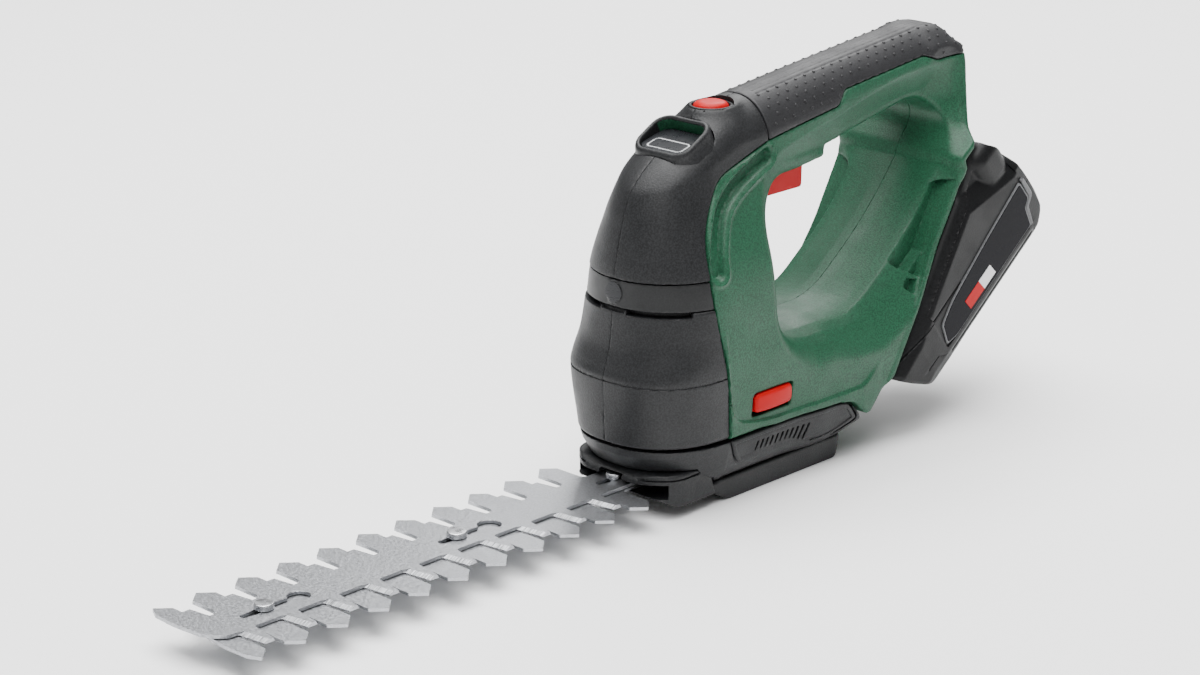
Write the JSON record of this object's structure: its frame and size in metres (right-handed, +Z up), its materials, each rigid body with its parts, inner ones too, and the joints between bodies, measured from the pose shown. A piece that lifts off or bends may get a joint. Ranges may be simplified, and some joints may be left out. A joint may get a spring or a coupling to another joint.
{
  "type": "hedge trimmer",
  "caption": "Compact cordless hedge and shrub trimmer: reciprocating toothed blades, loop-handled green and black body, red trigger and a slide-off battery pack.",
  "frame": {"origin": "bottom centre of the bounding box, level with the skid's underside", "axes": "+X from the blade tips to the battery, +Z up, +Y to the tool's right as it is held"},
  "size_m": [0.4375, 0.075, 0.1679],
  "materials": {
    "green_shell": "fine sparkle-grained moulded plastic, deep green",
    "black_cover": "fine-grained black moulded plastic",
    "trim_band": "satin black plastic",
    "grip_rubber": "soft black overmould with raised dots",
    "red_control": "glossy red plastic",
    "battery_case": "near-black plastic with gloss side panels",
    "display": "dark smooth window",
    "circuit_board": "green laminate",
    "cell_wrap": "shrink-wrapped cell",
    "blade_steel": "ground steel",
    "bright_steel": "plain steel",
    "copper": "copper windings and bronze bush",
    "magnet": "dark ferrite"
  },
  "bodies": {
    "housing": {"housing_left": "green_shell", "housing_right": "green_shell", "upper_cover_left": "black_cover", "upper_cover_right": "black_cover", "lower_cover_left": "black_cover", "lower_cover_right": "black_cover", "display_hood": "black_cover", "lock_collar": "black_cover", "gear_housing": "black_cover", "side_panel_left": "black_cover", "side_panel_right": "black_cover", "trim_band": "trim_band", "display_panel": "display", "grip_pad": "grip_rubber", "switch": "battery_case", "motor_end_cap": "battery_case", "wiring": "battery_case", "control_board": "circuit_board", "lock_spring": "bright_steel", "trigger_pin": "bright_steel", "trigger_spring": "bright_steel", "motor_can": "bright_steel", "gear_bearing": "bright_steel", "gear_plate": "bright_steel", "release_spring_left": "bright_steel", "release_spring_right": "bright_steel", "battery_terminals": "bright_steel", "case_screw_1": "bright_steel", "case_screw_2": "bright_steel", "case_screw_3": "bright_steel", "case_screw_4": "bright_steel", "motor_bush": "copper", "magnet_front": "magnet", "magnet_rear": "magnet"},
    "blade_cassette": {"blade_shoe": "black_cover", "lower_blade": "blade_steel", "front_rivet": "bright_steel", "middle_rivet": "bright_steel", "rear_rivet": "bright_steel"},
    "moving_blade": {"upper_blade": "blade_steel", "drive_yoke": "bright_steel"},
    "rotor": {"motor_rotor": "copper", "cooling_fan": "battery_case", "pinion": "bright_steel"},
    "crank_gear": {"drive_gear": "bright_steel", "gear_shaft": "bright_steel"},
    "trigger": {"trigger": "red_control"},
    "lock_button": {"lock_button": "red_control"},
    "release_button_left": {"release_button_left": "red_control"},
    "release_button_right": {"release_button_right": "red_control"},
    "battery": {"battery_base": "battery_case", "battery_cover": "battery_case", "battery_board": "circuit_board", "latch_spring": "bright_steel", "battery_cell_1": "cell_wrap", "battery_cell_2": "cell_wrap", "battery_cell_3": "cell_wrap", "battery_cell_4": "cell_wrap", "battery_cell_5": "cell_wrap"},
    "battery_latch": {"battery_latch": "red_control"}
  },
  "joints": [
    {"name": "blade_cassette_release", "type": "slide", "parent": "housing", "child": "blade_cassette", "axis": [0, 0, -1], "range_m": [0, 0.02]},
    {"name": "blade_stroke", "type": "slide", "parent": "blade_cassette", "child": "moving_blade", "axis": [1, 0, 0], "range_m": [-0.001, 0.007]},
    {"name": "rotor_spin", "type": "hinge", "parent": "housing", "child": "rotor", "pos_m": [0.0199, 0, 0.073], "axis": [0, 0, 1], "continuous": true},
    {"name": "crank_gear_spin", "type": "hinge", "parent": "housing", "child": "crank_gear", "pos_m": [0.0469, 0, 0.025], "axis": [0, 0, 1], "continuous": true},
    {"name": "trigger_press", "type": "hinge", "parent": "housing", "child": "trigger", "pos_m": [0.0619, 0, 0.13], "axis": [0, -1, 0], "range_deg": [0, 8], "stiffness_Nm_per_rad": 0.8, "springref_deg": -5.73, "deforming": ["trigger_spring"]},
    {"name": "lock_button_press", "type": "slide", "parent": "housing", "child": "lock_button", "axis": [0, 0, -1], "range_m": [0, 0.003], "stiffness_N_per_m": 600, "springref_m": -0.002, "deforming": ["lock_spring"]},
    {"name": "release_button_left_press", "type": "slide", "parent": "housing", "child": "release_button_left", "axis": [0, 1, 0], "range_m": [0, 0.003], "stiffness_N_per_m": 600, "springref_m": -0.002, "deforming": ["release_spring_left"]},
    {"name": "release_button_right_press", "type": "slide", "parent": "housing", "child": "release_button_right", "axis": [0, -1, 0], "range_m": [0, 0.003], "stiffness_N_per_m": 600, "springref_m": -0.002, "deforming": ["release_spring_right"]},
    {"name": "battery_slide", "type": "slide", "parent": "housing", "child": "battery", "axis": [0.7934, 0, 0.6088], "range_m": [0, 0.11]},
    {"name": "battery_latch_press", "type": "slide", "parent": "battery", "child": "battery_latch", "axis": [0.6088, 0, -0.7934], "range_m": [0, 0.0025], "stiffness_N_per_m": 800, "springref_m": -0.002, "deforming": ["latch_spring"]}
  ],
  "couplings": [
    {"joint": "crank_gear_spin", "follows": "rotor_spin", "ratio": -0.2}
  ]
}
